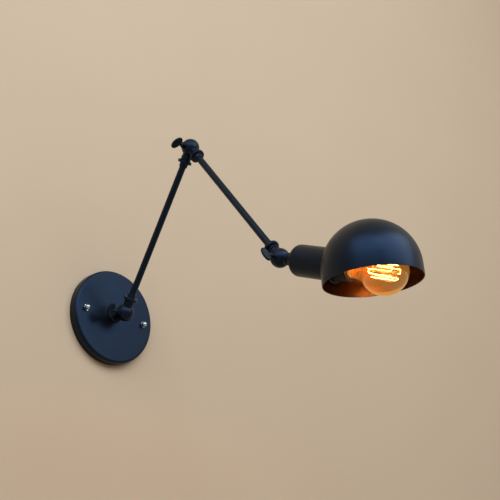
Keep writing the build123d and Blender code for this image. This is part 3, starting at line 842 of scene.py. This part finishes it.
dome_centre = head_pivot + lamp_direction * shade_reach
dome_direction = slanted(math.radians(90) + socket_latitude - lamp_drop)
dome_place = standing(dome_centre, dome_direction, hinge)
inner_radius = shade_radius - shade_wall


def dome_arc(radius):
    """Quarter circle of (radius, height, corner) points from the top of the dome to its skirt."""
    turns = [math.radians(90) * step / dome_steps for step in range(dome_steps + 1)]
    return [(radius * math.sin(turn), radius * math.cos(turn), 0.0) for turn in turns]


shade_outline = softened(
    dome_arc(shade_radius)
    + [(shade_radius, -shade_skirt, shade_rim_corner), (inner_radius, -shade_skirt, shade_rim_corner)]
    + dome_arc(inner_radius)[::-1]
)
hole_back = shade_reach - drill_start * shade_radius
hole_front = shade_reach - drill_end * shade_radius
shell = bpy.data.objects.new("shell", turned(shade_outline, dome_place, black_paint, steps=128))
drill = bpy.data.objects.new("drill", turned([
    (0.0, hole_back), (shade_hole_radius, hole_back), (shade_hole_radius, hole_front), (0.0, hole_front),
], lamp_place, black_paint))
for piece in (shell, drill):
    bpy.context.scene.collection.objects.link(piece)
cut = shell.modifiers.new("hole", "BOOLEAN")
cut.operation = "DIFFERENCE"
cut.solver = "EXACT"
cut.object = drill
shade_mesh = baked(shell)
bpy.data.objects.remove(drill)
cleaned(shade_mesh, crease=40)
shade_mesh.materials.clear()
shade_mesh.materials.append(black_paint)
shade_mesh.materials.append(shade_lining)
for face in shade_mesh.polygons:
    from_centre = face.center - dome_centre
    height = from_centre.dot(dome_direction)
    square_out = from_centre - dome_direction * min(height, 0.0)
    looks_in = face.normal.dot(square_out) < 0
    within = square_out.length < shade_radius - shade_wall / 2
    face.material_index = int(looks_in and within)
shade = joined("spun_shade", [shade_mesh])
fit(shade, "lamp_head", "shade")

# Bulb: a round blown bulb of see-through amber glass on a brass screw cap with a rolled thread.
# A glass stem stands inside, and a black glass insulator and a soldered contact close the cap.
# The thin glass carries a faint painted glow and throws no shadow, so the filament lights the shade.
bulb_seat = 127.2 * mm
cap_radius = 13.2 * mm
cap_bore = 12.8 * mm
cap_collar_end = -5.4 * mm
cap_thread_end = -21.0 * mm
cap_end = -22.0 * mm
cap_hole_radius = 10.8 * mm
cap_thread = {
    "Crest radius": cap_radius, "Root radius": 12.3 * mm, "Bore radius": 11.95 * mm,
    "Pitch": 3.62 * mm, "Roundness": 1.0, "Steps round": 73,
}
glass_tint = (1.0, 0.66, 0.22, 1.0)
# Painted glow on the glass and stem, standing in for the filament's light caught in the glass
painted_glass_glow = (1.0, 0.56, 0.12, 1.0)
painted_glow_strength = 0.062
glass_ripple_depth = 0.0004
insulator_colour = (0.010, 0.010, 0.012, 1.0)
insulator_violet = (0.016, 0.014, 0.018, 1.0)
insulator_edge = (0.05, 0.05, 0.055, 1.0)
solder_colour = (0.55, 0.55, 0.56, 1.0)
solder_dull = (0.38, 0.38, 0.39, 1.0)
clear_glass, tree, output, place = new_finish("clear_glass")
specks, clouds = grain_of(tree, place, fine=220.0, broad=45.0)
ripple = add(tree, "ShaderNodeBump", {
    "Height": clouds, "Strength": 0.05, "Distance": glass_ripple_depth,
})
glass = add(tree, "ShaderNodeBsdfPrincipled", {
    "Base Color": glass_tint, "Roughness": between(tree, specks, 0.0, 0.03), "IOR": 1.45,
    "Transmission Weight": 1.0, "Normal": ripple.outputs[0],
    "Emission Color": painted_glass_glow, "Emission Strength": painted_glow_strength,
})
tree.links.new(glass.outputs[0], output.inputs[0])
dress(clear_glass, "bulb_glass", "bulb_stem")
for name in ("bulb_glass", "bulb_stem"):
    frame["nodes"][name].visible_shadow = False
bulb_place = lamp_place @ Matrix.Translation((0, 0, bulb_seat))
cap_collar = turned([
    (cap_bore, 0.0), (cap_radius, 0.0), (cap_radius, cap_collar_end), (cap_bore, cap_collar_end),
], bulb_place, brass)
cap_sleeve = threaded(
    bulb_place @ Matrix.Translation((0, 0, cap_thread_end)),
    cap_thread, cap_collar_end - cap_thread_end, brass,
)
cap_lip = turned(softened([
    (cap_hole_radius, cap_thread_end, 0.0),
    (cap_bore, cap_thread_end, 0.0),
    (cap_bore, cap_end, tool_radius),
    (cap_hole_radius, cap_end, 0.0),
]), bulb_place, brass)
bulb_cap = joined("threaded_bulb_cap", [cap_collar, cap_sleeve, cap_lip])
fit(bulb_cap, "lamp_head", "bulb_cap")
black_glass = solid_finish(
    "black_glass", colour=insulator_colour, other=insulator_violet, edge=insulator_edge,
    roughness=(0.08, 0.18), fine=300.0, broad=200.0, relief=0.04, rub=0.2, dust=0.0,
)
solder = metal_finish(
    "solder", bright=solder_colour, dull=solder_dull, roughness=(0.36, 0.55),
    fine=1600.0, broad=400.0, relief=0.2, rub=0.3,
)
dress(black_glass, "bulb_insulator")
dress(solder, "bulb_contact")

# Filament: long strands of coiled tungsten wire that glow amber, on a cage of thin nickel wires.
# The light in the middle of the cage is what they throw on the shade.
glow_hot = (1.0, 0.90, 0.70, 1.0)
glow_edge = (1.0, 0.80, 0.50, 1.0)
glow_strength = 12.0
glow_cast = (1.0, 0.30, 0.07)
glow_power = 0.55
glow_size = 0.009
coil_depth = 0.0001
wire_colour = (0.05, 0.04, 0.035, 1.0)
nickel_colour = (0.50, 0.48, 0.45, 1.0)
nickel_dull = (0.34, 0.32, 0.30, 1.0)
support_nickel = metal_finish(
    "support_nickel", bright=nickel_colour, dull=nickel_dull, roughness=(0.30, 0.44),
    fine=1500.0, broad=300.0, relief=0.05, rub=0.2,
)
dress(support_nickel, "filament_supports")
filament_wire, tree, output, place = new_finish("filament_wire")
specks, clouds = grain_of(tree, place, fine=1600.0, broad=90.0)
heat = blend_of(tree, between(tree, clouds, 0.0, 1.0), glow_hot, glow_edge)
coil = add(tree, "ShaderNodeBump", {"Height": specks, "Strength": 0.4, "Distance": coil_depth})
wire = add(tree, "ShaderNodeBsdfPrincipled", {
    "Base Color": wire_colour, "Metallic": 1.0, "Roughness": between(tree, clouds, 0.4, 0.6),
    "Emission Color": heat, "Emission Strength": glow_strength, "Normal": coil.outputs[0],
})
tree.links.new(wire.outputs[0], output.inputs[0])
dress(filament_wire, "filament")
cage_low, cage_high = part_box("filament")
glow = bpy.data.lights.new("filament_light", "POINT")
glow.color = glow_cast
glow.energy = glow_power
glow.shadow_soft_size = glow_size
glow_object = bpy.data.objects.new("filament_light", glow)
glow_object.location = (cage_low + cage_high) / 2
glow_object.visible_camera = False
glow_object.visible_transmission = False
bpy.context.scene.collection.objects.link(glow_object)
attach(glow_object, "lamp_head")

# Studio: a wide cool window high in front, a cool fill high on the left, and soft warm air.
# The window is wide enough to lie across the dome and the canopy's face as one soft sheen.
aim = Vector((0.0, -0.29, 0.02))
cool_light = (0.66, 0.83, 1.0)
air_colour = (1.0, 0.85, 0.67, 1.0)
air_strength = 0.24
backdrop_colour = (0.50, 0.465, 0.42, 1.0)
backdrop_strength = 1.0
for name, spot, width, height, power in (
    ("window", Vector((0.27, -2.45, 1.44)), 3.25, 2.05, 80.0),
    ("fill", Vector((-1.82, -1.34, 1.38)), 2.44, 2.05, 48.0),
):
    lamp = bpy.data.lights.new(name, "AREA")
    lamp.shape = "RECTANGLE"
    lamp.size = width
    lamp.size_y = height
    lamp.energy = power
    lamp.color = cool_light
    stand = bpy.data.objects.new(name, lamp)
    stand.location = spot
    stand.rotation_euler = (aim - spot).to_track_quat("-Z", "Y").to_euler()
    bpy.context.scene.collection.objects.link(stand)
world = bpy.data.worlds.new("studio_air")
bpy.context.scene.world = world
world.use_nodes = True
tree = world.node_tree
tree.nodes.clear()
ray = add(tree, "ShaderNodeLightPath").outputs
mirrored = math_of(tree, "MAXIMUM", ray["Is Glossy Ray"], ray["Is Transmission Ray"])
shown = math_of(tree, "MAXIMUM", ray["Is Camera Ray"], mirrored)
soft = add(tree, "ShaderNodeBackground", {"Color": air_colour, "Strength": air_strength})
pale = add(tree, "ShaderNodeBackground", {"Color": backdrop_colour, "Strength": backdrop_strength})
air = add(tree, "ShaderNodeMixShader", {0: shown, 1: soft.outputs[0], 2: pale.outputs[0]})
add(tree, "ShaderNodeOutputWorld", {0: air.outputs[0]})

# Camera: below and to the left of the lamp, looking up along the wall at the shade.
# Its place and its long lens are fitted to the photograph, and half a pixel of shift lines them up.
camera_spot = Vector((-0.859318, -1.146449, -0.504357))
camera_turn = math.radians(-45.85)
camera_rise = math.radians(-23.737)
camera_lens = 68.17
camera_sensor = 36.0
image_width = 500
half_pixel = 0.5 / image_width
camera_right = Vector((math.cos(camera_turn), math.sin(camera_turn), 0.0))
camera_level = Vector((math.sin(camera_turn), -math.cos(camera_turn), 0.0))
camera_back = camera_level * math.cos(camera_rise) + Vector((0.0, 0.0, math.sin(camera_rise)))
camera_data = bpy.data.cameras.new("camera")
camera_data.sensor_width = camera_sensor
camera_data.lens = camera_lens
camera_data.shift_x = -half_pixel
camera_data.shift_y = half_pixel
camera = bpy.data.objects.new("camera", camera_data)
camera.matrix_world = standing(camera_spot, camera_back, camera_right)
bpy.context.scene.collection.objects.link(camera)
bpy.context.scene.camera = camera
bpy.context.scene.view_settings.view_transform = "Standard"
